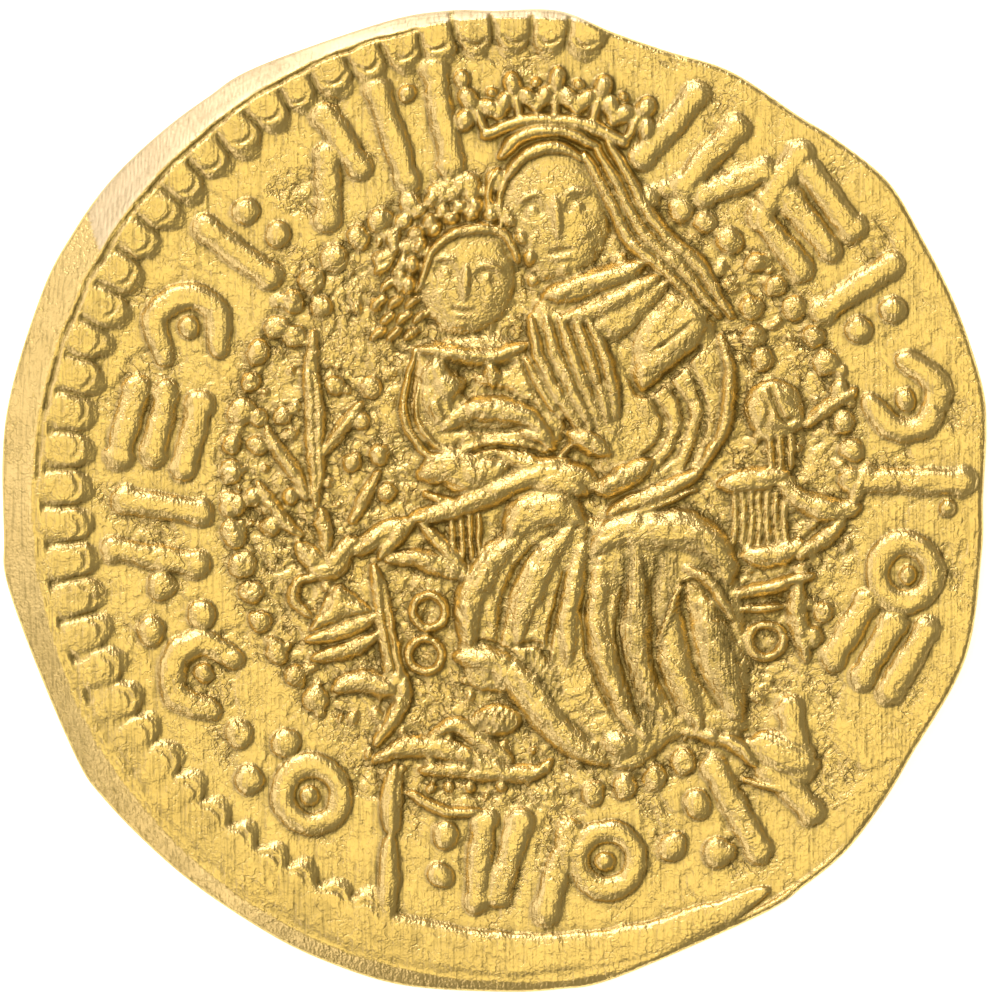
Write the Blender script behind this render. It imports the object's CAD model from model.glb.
# %% [markdown]
# # A small struck gold coin
# The coin lies on its back. Its skin follows the struck face, the uneven edge and the plainer reverse. The
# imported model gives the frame, the size and the place.

# %% Tools and frame
import math

import bpy
import numpy as np
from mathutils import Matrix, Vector


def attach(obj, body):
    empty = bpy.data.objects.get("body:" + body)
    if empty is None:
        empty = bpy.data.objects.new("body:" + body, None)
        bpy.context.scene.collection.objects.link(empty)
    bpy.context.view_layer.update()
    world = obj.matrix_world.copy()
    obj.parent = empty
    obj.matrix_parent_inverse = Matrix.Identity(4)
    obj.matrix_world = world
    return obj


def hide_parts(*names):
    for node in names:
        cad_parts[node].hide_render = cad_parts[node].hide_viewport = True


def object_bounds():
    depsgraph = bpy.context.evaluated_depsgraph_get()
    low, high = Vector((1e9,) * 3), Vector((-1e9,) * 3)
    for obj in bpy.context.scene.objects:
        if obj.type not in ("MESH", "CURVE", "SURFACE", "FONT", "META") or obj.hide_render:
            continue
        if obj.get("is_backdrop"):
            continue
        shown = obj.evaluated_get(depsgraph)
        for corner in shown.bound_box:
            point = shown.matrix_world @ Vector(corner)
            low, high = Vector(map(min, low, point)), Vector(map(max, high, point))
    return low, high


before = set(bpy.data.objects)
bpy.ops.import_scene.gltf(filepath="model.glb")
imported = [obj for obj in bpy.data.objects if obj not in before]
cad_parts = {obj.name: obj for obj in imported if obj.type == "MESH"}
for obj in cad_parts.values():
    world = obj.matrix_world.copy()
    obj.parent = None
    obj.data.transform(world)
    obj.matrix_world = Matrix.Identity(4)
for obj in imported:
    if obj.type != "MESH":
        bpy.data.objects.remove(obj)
CAD_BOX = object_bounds()
MM = 0.001
print("frame box in mm:", [[round(v / MM, 3) for v in corner] for corner in CAD_BOX])

# %% [markdown]
# ## Levels and circles
# A coin is read from its levels: the flat field, the rim, and how high each kind of form stands. The die's
# circles don't share the middle of the blank, because the strike was off centre.

# %% Named sizes, in millimetres
FIELD = 0.6
RIM_TOP = 0.7
BACK_FIELD = 0.15
EDGE_ROUND = 0.12
BEVEL_CENTRE = (0.42, 0.0)
BEVEL_TOP_RADIUS = 10.3
BEVEL_SLOPE = 2.1
BORDER = dict(x=0.58, y=0.28, inner=9.42, lip=10.25, lip_slope=0.15, high=0.13)
BEVEL_LINE = dict(first=102, last=262, steps=20, band=0.56, high=0.12, inwards=0.07, wide=0.12, deep=0.07)
BEADS = dict(first=82, last=250, count=37, begin=0.3, long=0.62, wide=0.92, apart=4.67)
# The stepped inner end of a bead: how many, the first one's place, how far in, size and height of each
BEAD_STEPS = dict(count=3, first=0.2, inwards=0.1, size=0.36, smaller=0.03, high=0.9, lower=0.28)
BEAD_CRESCENT = dict(out=0.36, radius=0.29, wide=0.1, deep=0.045)
BEAD_GAP = dict(until=200, long=0.65, wide=0.12, deep=0.05)
WORN_BAND = dict(first=200, last=301, steps=20, out=0.62, wide=1.15)
LEGEND = dict(x=0.85, y=0.28, radius=8.12, high=0.13)
STROKE_WIDE = 0.62
PEARLS = dict(x=0.98, y=0.28, radius=6.63, size=0.29, high=0.15)
PEARL_ARCS = [(69, 1, 13), (98, 223, 23), (-24, -29, 2), (-63, -80, 4)]

OUTLINE = [
    (10.43, 0.06), (10.5, 1.5), (10.4, 2.5), (9.85, 4.15), (9.1, 5.65), (8.4, 6.8), (7.3, 7.7), (6.5, 8.2),
    (5.05, 9.15), (3.65, 9.6), (2.5, 10.0), (1.35, 10.45), (0, 10.45), (-1.05, 10.45), (-2.4, 10.2),
    (-5.1, 9.25), (-6.15, 8.6), (-7.15, 7.85), (-8.2, 6.85), (-9.0, 5.75), (-9.7, 4.4), (-10.45, 1.8),
    (-10.5, -0.7), (-10.35, -2.05), (-9.05, -5.3), (-8.3, -6.45), (-6.75, -7.95), (-5.1, -9.1),
    (-3.75, -9.8), (-2.05, -10.35), (0, -10.5), (1.35, -10.45), (2.6, -10.2), (5.7, -8.85), (6.6, -8.25),
    (7.5, -7.5), (8.3, -6.45), (8.9, -5.45), (10.05, -3.4), (10.4, -1.15),
]
print("outline corners:", len(OUTLINE))

# %% [markdown]
# ## Smooth paths
# Folds, posts and the outline are curves through a few places. The curve used is the one that passes through
# its points and leaves each of them along the line between its two neighbours.


# %% Curves through points
def smooth_path(points, steps=6, closed=False):
    """Between two points the curve is a cubic, whose slope at each point is half the step between that
    point's neighbours. Two points alone give a straight line."""
    points = np.array(points, float)
    if len(points) == 2 and not closed:
        return points
    if closed:
        padded = np.concatenate([points[-1:], points, points[:2]])
    else:
        padded = np.concatenate([2 * points[:1] - points[1:2], points, 2 * points[-1:] - points[-2:-1]])
    before, start, end, after = (padded[k:len(padded) - 3 + k] for k in range(4))
    t = (np.arange(steps) / steps)[:, None, None]
    curve = 0.5 * (2 * start + (end - before) * t + (2 * before - 5 * start + 4 * end - after) * t ** 2
                   + (3 * start - before - 3 * end + after) * t ** 3)
    curve = curve.transpose(1, 0, 2).reshape(-1, 2)
    return curve if closed else np.concatenate([curve, points[-1:]])


outline = smooth_path(OUTLINE, steps=12, closed=True)
low, high = outline.min(axis=0), outline.max(axis=0)
DESIGN_CENTRE = (low + high) / 2
cad_half = (np.array(CAD_BOX[1]) - np.array(CAD_BOX[0]))[:2] / MM / 2
FIT = float((cad_half / ((high - low) / 2)).min()) * 0.9995
outline_angle = np.arctan2(*(outline - DESIGN_CENTRE).T[::-1])
outline_radius = np.hypot(*(outline - DESIGN_CENTRE).T) * FIT
order = np.argsort(outline_angle)
outline_angle, outline_radius = outline_angle[order], outline_radius[order]


def edge_radius(angle):
    """Distance from the middle of the coin to its outline, read from the outline's points by angle."""
    return np.interp(angle, outline_angle, outline_radius, period=2 * np.pi)


print("outline fitted to the frame by", round(FIT, 5), "centre", DESIGN_CENTRE.round(3))

# %% [markdown]
# ## A map of heights
# The struck face is worked out once, on a fine square map, and every mesh of the coin reads its heights
# there. So meshes that meet along a circle agree to the last digit, and blurs and slopes are sums over the
# map.

# %% Map
MAP_STEP = 0.025
MAP_HALF = 10.7
map_line = np.arange(-MAP_HALF, MAP_HALF + MAP_STEP, MAP_STEP)
map_x, map_y = np.meshgrid(map_line, map_line)


def read_map(values, x, y):
    """Between four points of the map a value is mixed by the share of the way across and up."""
    across = np.clip((x + MAP_HALF) / MAP_STEP, 0, len(map_line) - 1.001)
    up = np.clip((y + MAP_HALF) / MAP_STEP, 0, len(map_line) - 1.001)
    i, j = across.astype(int), up.astype(int)
    u, v = across - i, up - j
    return ((values[j, i] * (1 - u) + values[j, i + 1] * u) * (1 - v)
            + (values[j + 1, i] * (1 - u) + values[j + 1, i + 1] * u) * v)


def blurred(values, reach):
    """Mean over a square window, from running sums along each direction."""
    width = 2 * reach + 1
    for axis in (0, 1):
        pad = [(reach + 1, reach) if k == axis else (0, 0) for k in (0, 1)]
        sums = np.cumsum(np.pad(values, pad, mode="edge"), axis=axis)
        upper = np.take(sums, np.arange(width, sums.shape[axis]), axis=axis)
        lower = np.take(sums, np.arange(0, sums.shape[axis] - width), axis=axis)
        values = (upper - lower) / width
    return values


print("map of", map_x.size, "places,", MAP_STEP, "mm apart")

# %% [markdown]
# ## Relief as distance
# A die is cut with a few tools: a round punch leaves a pearl, a chisel a ridge and a ring punch a ring. Each
# has a height that depends only on the distance from its middle. So a form is one line of arithmetic over all
# the points at once, and the struck face is the highest of all the forms.


# %% The relief
def soft_step(value):
    """Eases from 0 to 1: three times the square less twice the cube."""
    share = np.clip(value, 0, 1)
    return share * share * (3 - 2 * share)


def noise(x, y, size, seed):
    """Gradient noise, between about -1 and 1: each corner of a square lattice has a random direction, and its
    value at a point is how far the point lies along it. The four corners' values are eased together. The
    lattice is turned by an angle of its own, so that no two layers share their rows."""
    random = np.random.default_rng(seed)
    direction = random.uniform(0, 2 * np.pi, (256, 256))
    turn = random.uniform(0, np.pi / 2)
    across = (x * math.cos(turn) - y * math.sin(turn)) / size + 128
    up = (x * math.sin(turn) + y * math.cos(turn)) / size + 128
    i, j = np.floor(across).astype(int), np.floor(up).astype(int)
    u, v = across - i, up - j

    def corner(di, dj):
        angle = direction[(i + di) % 256, (j + dj) % 256]
        return np.cos(angle) * (u - di) + np.sin(angle) * (v - dj)

    ease_u, ease_v = soft_step(u), soft_step(v)
    near = corner(0, 0) * (1 - ease_u) + corner(1, 0) * ease_u
    far = corner(0, 1) * (1 - ease_u) + corner(1, 1) * ease_u
    return 1.6 * (near * (1 - ease_v) + far * ease_v)


def creases(x, y, size, seed):
    """Thin valleys where a noise crosses zero: one less its size, squared."""
    return np.clip(1 - np.abs(noise(x, y, size, seed)) * 1.6, 0, 1) ** 2


def cracks(x, y, size, seed):
    """Thinner valleys along the same kind of line, which come and go with a second, broader noise."""
    line = np.clip(1 - np.abs(noise(x, y, size, seed)) * 7, 0, 1)
    return line * soft_step(0.5 + 1.5 * noise(x, y, size * 2.3, seed + 50))


def round_top(share):
    """A half round: the root of one less the square."""
    return np.sqrt(np.clip(1 - share ** 2, 0, 1))


def soft_top(share):
    """A low swelling: one less the square."""
    return np.clip(1 - share ** 2, 0, 1)


def full_top(share):
    """A full fold, rounded above and steep at its edge, so that it meets its neighbour in a narrow valley."""
    return np.clip(1 - np.abs(share) ** 2, 0, 1) ** 0.7


def worn_top(share):
    """A worn bead: one less the fourth power, so flat above and steep at its edge."""
    return np.clip(1 - share ** 4, 0, 1) ** 0.6


def stroke_top(share):
    """A struck stroke: one less the cube, rounded above, with flanks that run out softly."""
    return np.clip(1 - np.abs(share) ** 3, 0, 1) ** 0.95


MARGIN = 0.15
FLOOR_OF_GROOVES = -0.05
RIPPLE_LONG = 0.13


class Relief:
    """Heights in mm above the field, over the map's points in the die's own axes. Distances are measured from
    points that a noise has moved a little, so that no stroke is quite straight and no pearl quite round."""

    def __init__(self, x, y, wander):
        self.x, self.y = x, y
        self.warped_x = x + wander * (noise(x, y, 0.9, 31) + 0.5 * noise(x, y, 0.33, 32))
        self.warped_y = y + wander * (noise(x, y, 0.9, 33) + 0.5 * noise(x, y, 0.33, 34))
        self.marked = soft_step(0.6 + 0.8 * noise(x, y, 0.8, 35))
        self.scraped = np.zeros(x.shape)
        self.high = np.zeros_like(x)

    def near(self, points, reach):
        """The rows and columns of the map around the given places, widened by reach."""
        low, high = np.min(points, axis=0) - reach - MARGIN, np.max(points, axis=0) + reach + MARGIN
        columns = np.searchsorted(self.x[0], (low[0], high[0]))
        rows = np.searchsorted(self.y[:, 0], (low[1], high[1]))
        return slice(*rows), slice(*columns)

    def distance(self, path, here):
        """Distance to a path of straight pieces, and the share of its length at the nearest place."""
        x, y = self.warped_x[here], self.warped_y[here]
        lengths = np.hypot(*np.diff(path, axis=0).T)
        travelled = np.concatenate([[0], np.cumsum(lengths)])
        best = np.full(x.shape, 1e9)
        share = np.zeros_like(x)
        for (ax, ay), (bx, by), length, start in zip(path[:-1], path[1:], lengths, travelled):
            t = np.clip(((x - ax) * (bx - ax) + (y - ay) * (by - ay)) / length ** 2, 0, 1)
            gap = np.hypot(x - ax - t * (bx - ax), y - ay - t * (by - ay))
            closer = gap < best
            best = np.where(closer, gap, best)
            share = np.where(closer, (start + t * length) / travelled[-1], share)
        return best, share

    def raise_to(self, here, heights):
        """The higher of the form and what is there."""
        self.high[here] = np.maximum(self.high[here], heights)

    def ridge(self, points, wide, high, end=0.35, top=round_top, ripple=0.0):
        """Along a smooth path: the width swells by the root of a half sine from the ends to the middle. A
        ripple is a fine wave across the ridge, like the marks of a chisel drawn along it."""
        path = smooth_path(points)
        here = self.near(path, wide)
        gap, share = self.distance(path, here)
        swell = end + (1 - end) * np.sin(np.pi * share) ** 0.5
        across = gap / (wide / 2 * swell)
        inside = across < 1
        wave = ripple * np.sin(2 * np.pi * gap / RIPPLE_LONG) * soft_step(2.5 * across) * self.marked[here]
        heights = np.where(inside, high * (0.5 + 0.5 * swell) * top(across) + wave, 0)
        self.raise_to(here, heights)

    def boss(self, x, y, radius, high, other=None, turn=0.0, top=round_top):
        """An oval: the share is the root of the two squares, each over its own radius."""
        other = other or radius
        here = self.near([(x, y)], 1.5 * max(radius, other))
        dx, dy = self.warped_x[here] - x, self.warped_y[here] - y
        along = (dx * math.cos(turn) + dy * math.sin(turn)) / radius
        across = (dy * math.cos(turn) - dx * math.sin(turn)) / other
        share = np.hypot(along, across)
        self.raise_to(here, np.where(share < 1, high * top(share), 0))

    def ring(self, x, y, radius, wide, high):
        """A half round that follows a circle."""
        here = self.near([(x, y)], radius + wide)
        share = np.abs(np.hypot(self.warped_x[here] - x, self.warped_y[here] - y) - radius) / (wide / 2)
        self.raise_to(here, np.where(share < 1, high * round_top(share), 0))

    def inside(self, points):
        """Rows and columns around a closed outline, the distance to it, and which points it holds: those from
        which a line to the right crosses it an odd number of times."""
        path = smooth_path(points, closed=True)
        path = np.concatenate([path, path[:1]])
        here = self.near(path, 0)
        gap, _ = self.distance(path, here)
        x, y = self.warped_x[here], self.warped_y[here]
        held = np.zeros(x.shape, bool)
        for (ax, ay), (bx, by) in zip(path[:-1], path[1:]):
            crosses = (ay > y) != (by > y)
            held ^= crosses & (x < ax + (y - ay) * (bx - ax) / (by - ay if by != ay else 1))
        return here, gap, held

    def mass(self, points, high, slope=0.3):
        """A raised body: full height inside the outline, rounded over the slope to its edge."""
        here, gap, held = self.inside(points)
        share = np.clip(1 - gap / slope, 0, 1)
        self.raise_to(here, np.where(held, high * np.sqrt(1 - share ** 2), 0))

    def hatch(self, points, degrees, spacing, deep, edge):
        """Fine parallel lines cut into an area: a sine across them, which eases in from the outline."""
        here, gap, held = self.inside(points)
        angle = math.radians(degrees)
        across = self.warped_x[here] * math.sin(angle) - self.warped_y[here] * math.cos(angle)
        wave = 0.5 + 0.5 * np.sin(2 * np.pi * across / spacing)
        inner = np.where(held, soft_step(gap / edge), 0)
        self.high[here] -= deep * wave * inner
        self.scraped[here] = np.maximum(self.scraped[here], inner)

    def groove(self, points, wide, deep, end=0.35):
        """A valley along a smooth path, taken out of whatever stands there."""
        path = smooth_path(points)
        here = self.near(path, wide)
        gap, share = self.distance(path, here)
        swell = end + (1 - end) * np.sin(np.pi * share) ** 0.5
        depth = deep * swell * soft_top(gap / (wide / 2 * swell))
        self.high[here] = np.maximum(self.high[here] - depth, FLOOR_OF_GROOVES)

    def row(self, points, count, size, high, other=None):
        """Lumps in a row along a smooth path, which is walked in equal steps."""
        path = smooth_path(points)
        lengths = np.concatenate([[0], np.cumsum(np.hypot(*np.diff(path, axis=0).T))])
        steps = np.linspace(0, lengths[-1], count)
        xs, ys = np.interp(steps, lengths, path[:, 0]), np.interp(steps, lengths, path[:, 1])
        turns = np.arctan2(np.gradient(ys), np.gradient(xs))
        for x, y, turn in zip(xs, ys, turns):
            self.boss(x, y, size, high, other=other, turn=turn)


print("relief tools: ridge, boss, ring, mass, hatch, groove, row")

# %% [markdown]
# ## Border, pearls and legend
# The border and the pearls repeat one punch round a circle. The band of the legend holds short strokes,
# rings and dots, which are no letters, each drawn about its own middle: first across, then outwards.


# %% Circles of small forms
def around(circle, degrees, radius=None):
    """A place on a circle: its centre and the radius turned by the angle."""
    angle = math.radians(degrees)
    radius = circle["radius"] if radius is None else radius
    return circle["x"] + radius * math.cos(angle), circle["y"] + radius * math.sin(angle)


def strike_bevel_line(relief):
    """Behind the beads the metal is one worn band, and a sunk line parts it from the file's bevel."""
    turns = np.linspace(BEVEL_LINE["first"], BEVEL_LINE["last"], BEVEL_LINE["steps"])
    circle = dict(x=BEVEL_CENTRE[0], y=BEVEL_CENTRE[1], radius=BEVEL_TOP_RADIUS)
    relief.ridge([around(circle, degrees) for degrees in turns], BEVEL_LINE["band"], BEVEL_LINE["high"],
                 end=0.8, top=worn_top)
    within = BEVEL_TOP_RADIUS - BEVEL_LINE["inwards"]
    relief.groove([around(circle, degrees, within) for degrees in turns], BEVEL_LINE["wide"],
                  BEVEL_LINE["deep"], end=0.6)


def strike_beads(relief):
    """Long beads that touch, worn into a band. The die slipped, so each inner end is stepped in crescents."""
    random = np.random.default_rng(21)
    inner, high = BORDER["inner"], BORDER["high"]
    places = np.linspace(BEADS["first"], BEADS["last"], BEADS["count"])
    for degrees in places:
        shift = random.uniform(-0.06, 0.06)
        ends = [around(BORDER, degrees, inner + out) for out in (BEADS["begin"] + shift, BEADS["long"])]
        relief.ridge(ends, BEADS["wide"], high, end=0.95, top=worn_top)
        for step in range(BEAD_STEPS["count"]):
            out = inner + BEAD_STEPS["first"] - BEAD_STEPS["inwards"] * step + shift
            place = around(BORDER, degrees + random.uniform(-0.3, 0.3), out)
            relief.boss(*place, BEAD_STEPS["size"] - BEAD_STEPS["smaller"] * step,
                        high * (BEAD_STEPS["high"] - BEAD_STEPS["lower"] * step), top=worn_top)
    for degrees in places:
        middle = around(BORDER, degrees + random.uniform(-0.4, 0.4), inner + BEAD_CRESCENT["out"])
        circle = dict(x=middle[0], y=middle[1], radius=BEAD_CRESCENT["radius"])
        arc = [around(circle, degrees + t) for t in np.degrees([-1.1, -0.5, 0, 0.5, 1.1]) + 180]
        relief.groove(arc, BEAD_CRESCENT["wide"], BEAD_CRESCENT["deep"])
        side = degrees + BEADS["apart"] / 2
        if side < BEAD_GAP["until"]:
            gap = [around(BORDER, side, inner + out) for out in (0, BEAD_GAP["long"])]
            relief.groove(gap, BEAD_GAP["wide"], BEAD_GAP["deep"])
    worn = np.linspace(WORN_BAND["first"], WORN_BAND["last"], WORN_BAND["steps"])
    relief.ridge([around(BORDER, degrees, inner + WORN_BAND["out"]) for degrees in worn], WORN_BAND["wide"],
                 high, end=0.15, top=worn_top)


LOOSE_PEARLS = [
    (-5.05, 1.75, 0.22), (-4.55, 1.8, 0.22), (-5.05, 1.15, 0.24), (-5.2, 0.05, 0.22), (-4.8, -0.55, 0.24),
    (-4.35, 0.1, 0.2), (-3.4, 2.45, 0.22), (-2.65, 2.4, 0.26), (-2.9, 1.7, 0.22), (-3.05, 0.8, 0.22),
    (-2.45, 0.95, 0.24), (-2.3, 0.15, 0.24), (5.5, 4.1, 0.28), (5.55, 3.5, 0.26), (5.7, 3.0, 0.26),
    (-2.45, 5.15, 0.2), (-3.7, 4.15, 0.26), (-4.3, 3.5, 0.26),
]


def strike_pearls(relief):
    """One punch round the circle, never struck twice to the same depth or quite upright."""
    random = np.random.default_rng(51)
    for first, last, count in PEARL_ARCS:
        for degrees in np.linspace(first, last, count):
            turned = degrees + random.uniform(-0.4, 0.4)
            place = around(PEARLS, turned, PEARLS["radius"] + random.uniform(-0.05, 0.05))
            size = PEARLS["size"] * random.uniform(0.85, 1.1)
            relief.boss(*place, size, PEARLS["high"], other=size * random.uniform(0.85, 1.15),
                        turn=random.uniform(0, 3))
    for x, y, radius in LOOSE_PEARLS:
        relief.boss(x, y, radius, PEARLS["high"])


CRUMBS = dict(count=190, nearest=4.3, farthest=6.9, smallest=0.06, largest=0.17, high=0.09)


def strike_crumbs(relief):
    """Small lumps of metal between the pearls and the figures, where the die had crumbled."""
    random = np.random.default_rng(41)
    for _ in range(CRUMBS["count"]):
        reach = math.sqrt(random.uniform(CRUMBS["nearest"] ** 2, CRUMBS["farthest"] ** 2))
        size = random.uniform(CRUMBS["smallest"], CRUMBS["largest"])
        place = around(PEARLS, random.uniform(0, 360), reach)
        relief.boss(*place, size, CRUMBS["high"], other=size * random.uniform(0.6, 1.5),
                    turn=random.uniform(0, 3), top=soft_top)


class Pen:
    """Draws one mark of the legend in its own axes: across the band, and outwards."""

    def __init__(self, relief, circle, degrees):
        self.relief, self.circle, self.angle = relief, circle, math.radians(degrees)

    def place(self, across, out):
        cos, sin = math.cos(self.angle), math.sin(self.angle)
        reach = self.circle["radius"] + out
        return self.circle["x"] + reach * cos + across * sin, self.circle["y"] + reach * sin - across * cos

    def bar(self, start, end):
        path = [self.place(*start), self.place(*end)]
        self.relief.ridge(path, STROKE_WIDE, self.circle["high"], end=0.85, top=stroke_top)
        for x, y in path:
            self.relief.boss(x, y, STROKE_WIDE * 0.55, self.circle["high"] * 0.95, top=stroke_top)

    def dot(self, across, out, size):
        self.relief.boss(*self.place(across, out), size, self.circle["high"])

    def loop(self, across, out, size):
        self.relief.ring(*self.place(across, out), size, STROKE_WIDE * 0.85, self.circle["high"])

    def arc(self, across, out, size):
        turns = np.array([0.9, 0.5, 0.15, -0.15, -0.5]) * math.pi
        path = [self.place(across + size * math.cos(t), out + size * math.sin(t)) for t in turns]
        self.relief.ridge(path, STROKE_WIDE, self.circle["high"], end=0.75, top=stroke_top)


MARKS = {
    "leaning": [("bar", (-0.75, -0.75), (-0.25, 0.95)), ("bar", (0.3, -0.95), (0.8, 0.6))],
    "long_bar": [("bar", (-0.05, -1.0), (0.05, 1.0)), ("dot", 0.6, 0.7, 0.2)],
    "crescent": [("arc", 0, 0, 0.75), ("dot", 0.1, 0, 0.25)],
    "steps": [("bar", (-0.75, 0.75), (0.75, 0.6)), ("bar", (-0.6, 0.05), (0.7, -0.05)),
              ("bar", (-0.75, -0.65), (0.6, -0.8))],
    "drops": [("bar", (-0.3, -0.9), (-0.45, 0.8)), ("dot", 0.45, -0.45, 0.3), ("dot", 0.4, 0.4, 0.3)],
    "shard": [("bar", (-0.6, -0.9), (0.15, 0.2)), ("bar", (0.6, -0.3), (0.55, 0.95))],
    "knots": [("dot", -0.4, -0.5, 0.33), ("dot", 0.45, 0.1, 0.33), ("dot", -0.4, 0.6, 0.33)],
    "eye": [("loop", 0, 0, 0.62), ("dot", 0.05, 0.05, 0.22)],
}
LEGEND_MARKS = [
    (66, "leaning"), (55, "shard"), (44, "steps"), (29, "drops"), (14, "crescent"), (1, "long_bar"),
    (-13, "eye"), (-25, "steps"), (-46, "shard"), (-58, "long_bar"), (-66, "knots"), (-79, "eye"),
    (-90, "leaning"), (-101, "drops"), (-126, "eye"), (-137, "knots"), (-150, "crescent"), (-162, "knots"),
    (-173, "leaning"), (171, "steps"), (156, "crescent"), (139, "drops"), (123, "shard"), (112, "long_bar"),
    (104, "long_bar"),
]


def strike_mark(relief, circle, degrees, kind):
    pen = Pen(relief, circle, degrees)
    for tool, *sizes in MARKS[kind]:
        getattr(pen, tool)(*sizes)


def strike_legend(relief):
    for degrees, kind in LEGEND_MARKS:
        strike_mark(relief, LEGEND, degrees, kind)


print("legend marks:", len(LEGEND_MARKS), "of", len(MARKS), "kinds")

# %% [markdown]
# ## Mother and child
# A die cutter first sinks the masses of the bodies, then parts them with grooves, and last sets fine ridges
# for hems and hair. The same order is kept here, with the dress in broad folds between dark valleys.

# %% Bodies and folds
# Height, width of the slope, outline
MASSES = {
    "cloak": (0.08, 0.4, [(0.95, 4.25), (2.3, 4.75), (3.6, 4.9), (4.5, 3.9), (4.85, 3.1), (4.75, 1.6),
                          (4.3, 0.5), (3.2, 0.1), (2.4, 0.3), (2.1, 1.0)]),
    "veil": (0.13, 0.45, [(0.95, 4.25), (2.1, 3.7), (2.8, 2.95), (2.8, 2.2), (2.75, 0.8), (1.8, 1.35),
                          (1.25, 2.1), (0.75, 3.1)]),
    "child": (0.11, 0.35, [(-1.6, 3.35), (0.65, 3.35), (1.5, 2.05), (1.4, 1.25), (0.9, 1.0), (-0.15, 1.2),
                           (-1.0, 0.95), (-1.6, 1.25), (-1.8, 1.9), (-1.75, 2.8)]),
    "lap": (0.15, 0.45, [(-0.8, -3.0), (-0.75, -1.95), (-0.15, -1.0), (0.5, -0.35), (1.35, -0.05),
                         (2.0, -0.3), (2.8, -0.45), (3.8, -0.4), (4.7, -0.8), (5.2, -1.7), (5.35, -3.0),
                         (5.45, -4.3), (5.1, -5.2), (4.15, -5.0), (3.3, -5.5), (2.55, -5.75), (1.4, -5.0),
                         (0.75, -4.2), (-0.5, -4.0)]),
    "sleeve": (0.23, 0.35, [(2.95, 3.05), (3.05, 3.7), (3.75, 4.45), (4.5, 4.0), (4.4, 3.4), (3.7, 2.7),
                            (3.1, 2.3)]),
    "upper sleeve": (0.2, 0.3, [(2.0, 3.75), (2.9, 4.5), (3.75, 4.75), (3.6, 4.35), (2.95, 3.6), (2.4, 3.4)]),
}
HEADS = {
    "mother": dict(x=1.3, y=6.15, half=1.12, tall=1.5, turn=0.12, high=0.2),
    "child": dict(x=-0.6, y=4.75, half=1.05, tall=1.25, turn=-0.16, high=0.19),
}
# Width, depth, places
GROOVES = {
    "under shoulders": (0.3, 0.1, [(-1.2, 2.95), (-0.4, 2.75), (0.5, 2.95)]),
    "beside upper arm": (0.5, 0.16, [(-0.7, 2.75), (-0.5, 2.35), (0.0, 2.25), (0.4, 2.3)]),
    "under chest": (0.35, 0.12, [(-0.6, 2.0), (0.15, 2.1), (0.75, 1.95), (1.1, 1.5)]),
    "child side": (0.2, 0.1, [(0.55, 3.15), (0.85, 2.5), (1.2, 1.9)]),
    "below forearm": (0.2, 0.08, [(-1.1, 1.45), (-0.3, 1.5), (0.5, 1.5), (0.95, 1.15)]),
    "veil edge": (0.2, 0.14, [(0.85, 3.0), (1.25, 2.1), (1.8, 1.4), (2.5, 0.9)]),
    "cloak a": (0.24, 0.13, [(3.35, 2.2), (3.6, 1.7), (3.5, 1.2), (3.0, 0.85)]),
    "cloak b": (0.24, 0.13, [(3.7, 2.6), (4.05, 1.9), (3.95, 1.2), (3.45, 0.6)]),
    "cloak c": (0.2, 0.11, [(4.15, 2.9), (4.45, 2.0), (4.35, 1.2), (3.95, 0.4)]),
    "under sleeve": (0.26, 0.14, [(2.9, 2.7), (3.15, 2.3), (3.7, 2.6), (4.4, 3.3)]),
    "sleeve line": (0.12, 0.06, [(3.3, 3.1), (3.8, 3.5), (4.25, 3.85)]),
    "left thigh": (0.3, 0.12, [(2.0, -0.35), (1.3, -0.75), (0.65, -1.3), (0.25, -2.1), (0.05, -3.1)]),
    "left shin": (0.24, 0.12, [(1.85, -0.95), (1.5, -1.7), (1.25, -2.5), (1.15, -3.4)]),
    "between legs": (0.3, 0.17, [(2.0, -0.6), (1.95, -1.9), (2.05, -3.2), (2.5, -4.4), (3.25, -5.2)]),
    "right thigh": (0.3, 0.12, [(3.1, -0.8), (2.85, -1.6), (2.7, -2.5), (2.75, -3.7), (3.15, -4.7)]),
    "right shin": (0.32, 0.17, [(4.05, -1.75), (4.1, -2.8), (4.4, -3.7), (4.9, -4.5)]),
    "right fold": (0.22, 0.11, [(3.5, -1.2), (3.35, -2.4), (3.5, -3.6), (3.9, -4.7)]),
    "under flap": (0.2, 0.12, [(4.0, -1.75), (4.45, -1.8), (4.9, -2.4), (5.2, -3.1)]),
    "hem line": (0.24, 0.13, [(-0.7, -2.95), (0.2, -3.2), (0.8, -3.8), (1.3, -4.5), (2.1, -5.1)]),
    "low fold": (0.2, 0.1, [(0.35, -3.1), (0.95, -3.1), (1.2, -3.5)]),
}
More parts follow.
